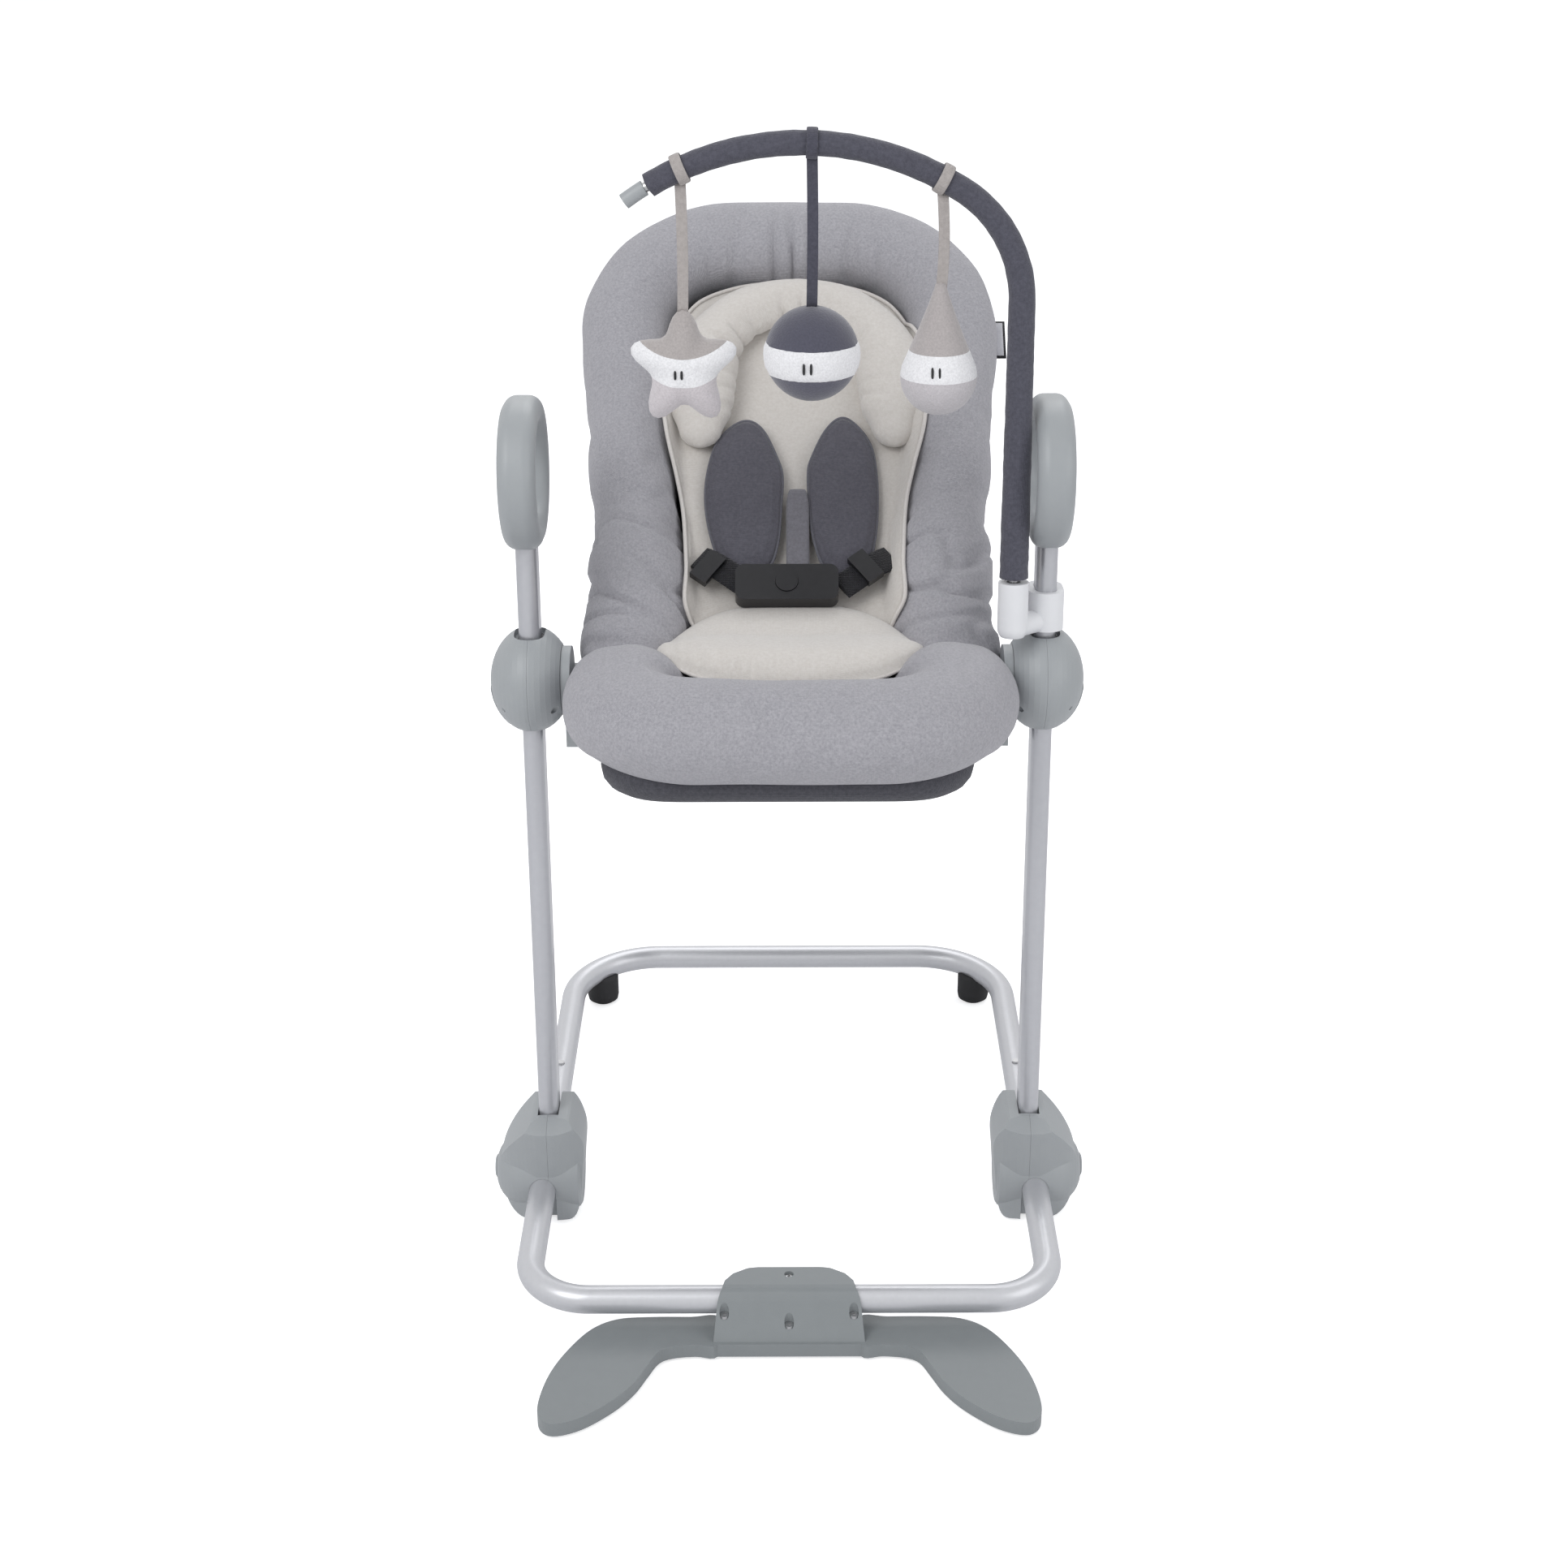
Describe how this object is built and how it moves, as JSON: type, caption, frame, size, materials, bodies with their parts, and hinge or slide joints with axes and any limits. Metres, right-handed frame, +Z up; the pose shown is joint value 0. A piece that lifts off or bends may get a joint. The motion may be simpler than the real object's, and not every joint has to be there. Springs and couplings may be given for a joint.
{
  "type": "bouncer seat",
  "caption": "Padded baby seat hung between two uprights on a folding tube stand, with a swivelling arch of hanging soft toys.",
  "frame": {"origin": "bottom centre of the overall bounding box, on the floor", "axes": "+Z up, -Y the front (foot plate side), +X the sitter's left as seen from the front on the right"},
  "size_m": [0.554, 0.795, 0.991],
  "materials": {
    "silver_tube": "satin",
    "zinc_steel": "plain",
    "grey_plastic": "satin moulded",
    "white_plastic": "satin moulded",
    "dark_plastic": "matte moulded",
    "black_plastic": "satin moulded",
    "black_rubber": "matte",
    "heather_cloth": "heather jersey",
    "dark_cloth": "woven",
    "beige_cloth": "plush",
    "slate_cloth": "woven",
    "black_webbing": "woven webbing",
    "taupe_plush": "short plush",
    "slate_plush": "short plush"
  },
  "bodies": {
    "base": {"front_tube": "silver_tube", "rear_tube": "silver_tube", "rear_spigots": "zinc_steel", "hub_outer_left": "grey_plastic", "hub_inner_left": "grey_plastic", "hub_outer_right": "grey_plastic", "hub_inner_right": "grey_plastic", "fold_pins": "zinc_steel", "foot_plate": "grey_plastic", "foot_clamp": "grey_plastic", "foot_screws": "zinc_steel", "front_grip_pads": "black_rubber", "rear_feet": "black_rubber"},
    "snap_left": {"snap_button_left": "zinc_steel"},
    "snap_right": {"snap_button_right": "zinc_steel"},
    "fold_button_l": {"fold_button_left": "grey_plastic"},
    "fold_button_r": {"fold_button_right": "grey_plastic"},
    "uprights": {"upright_left": "silver_tube", "upright_right": "silver_tube", "upright_shoes": "dark_plastic", "hand_loop_left": "grey_plastic", "hand_loop_right": "grey_plastic"},
    "carriages": {"ball_outer_left": "grey_plastic", "ball_inner_left": "grey_plastic", "ball_outer_right": "grey_plastic", "ball_inner_right": "grey_plastic", "guide_bushes": "dark_plastic", "ball_screws": "zinc_steel", "arch_clamp": "white_plastic"},
    "lever_l": {"height_lever_left": "grey_plastic"},
    "lever_r": {"height_lever_right": "grey_plastic"},
    "seat": {"recline_axles": "zinc_steel", "seat_arm_left": "grey_plastic", "seat_arm_right": "grey_plastic", "seat_frame": "silver_tube", "seat_ring": "heather_cloth", "seat_hammock": "dark_cloth", "back_pad": "beige_cloth", "seat_cushion": "beige_cloth", "head_hugger": "beige_cloth", "shoulder_pad_left": "dark_cloth", "shoulder_pad_right": "dark_cloth", "crotch_cover": "dark_cloth", "waist_webbing": "black_webbing", "web_sliders": "black_plastic", "buckle_body": "black_plastic", "side_tab": "black_webbing"},
    "buckle_push": {"buckle_button": "black_plastic"},
    "arch": {"arch_rod": "zinc_steel", "arch_sleeve": "slate_cloth", "arch_end_clip": "grey_plastic"},
    "hanging_star": {"ribbon_left": "beige_cloth", "toy_star": "taupe_plush"},
    "hanging_ball": {"ribbon_middle": "slate_cloth", "toy_ball": "slate_plush"},
    "hanging_drop": {"ribbon_right": "beige_cloth", "toy_drop": "taupe_plush"}
  },
  "joints": [
    {"name": "fold", "type": "hinge", "parent": "base", "child": "uprights", "pos_m": [0, -0.0566, 0.072], "axis": [-1, 0, 0], "range_deg": [0, 60]},
    {"name": "height", "type": "slide", "parent": "uprights", "child": "carriages", "axis": [0, 0.0872, 0.9962], "range_m": [-0.225, 0]},
    {"name": "recline", "type": "hinge", "parent": "carriages", "child": "seat", "pos_m": [0, -0.01723, 0.522], "axis": [1, 0, 0], "range_deg": [-22, 12]},
    {"name": "arch_swivel", "type": "hinge", "parent": "carriages", "child": "arch", "pos_m": [0.193, -0.04725, 0.58054], "axis": [0, 0.0872, 0.9962], "range_deg": [0, 110]},
    {"name": "star_swing", "type": "hinge", "parent": "arch", "child": "hanging_star", "pos_m": [-0.08478, -0.015, 0.94905], "axis": [1, 0, 0], "range_deg": [-35, 35]},
    {"name": "ball_swing", "type": "hinge", "parent": "arch", "child": "hanging_ball", "pos_m": [0.02136, -0.01311, 0.97076], "axis": [1, 0, 0], "range_deg": [-35, 35]},
    {"name": "drop_swing", "type": "hinge", "parent": "arch", "child": "hanging_drop", "pos_m": [0.12673, -0.01581, 0.9398], "axis": [1, 0, 0], "range_deg": [-35, 35]},
    {"name": "fold_press_left", "type": "slide", "parent": "base", "child": "fold_button_l", "axis": [1, 0, 0], "range_m": [0, 0.004], "stiffness_N_per_m": 900},
    {"name": "fold_press_right", "type": "slide", "parent": "base", "child": "fold_button_r", "axis": [-1, 0, 0], "range_m": [0, 0.004], "stiffness_N_per_m": 900},
    {"name": "snap_press_left", "type": "slide", "parent": "base", "child": "snap_left", "axis": [0, 0, -1], "range_m": [0, 0.0025], "stiffness_N_per_m": 900},
    {"name": "snap_press_right", "type": "slide", "parent": "base", "child": "snap_right", "axis": [0, 0, -1], "range_m": [0, 0.0025], "stiffness_N_per_m": 900},
    {"name": "lever_left", "type": "hinge", "parent": "carriages", "child": "lever_l", "pos_m": [-0.246, -0.01723, 0.499], "axis": [0, -1, 0], "range_deg": [0, 5], "stiffness_Nm_per_rad": 1.5},
    {"name": "lever_right", "type": "hinge", "parent": "carriages", "child": "lever_r", "pos_m": [0.246, -0.01723, 0.499], "axis": [0, 1, 0], "range_deg": [0, 5], "stiffness_Nm_per_rad": 1.5},
    {"name": "buckle_press", "type": "slide", "parent": "seat", "child": "buckle_push", "axis": [0, 0.6428, -0.766], "range_m": [0, 0.002], "stiffness_N_per_m": 900}
  ]
}
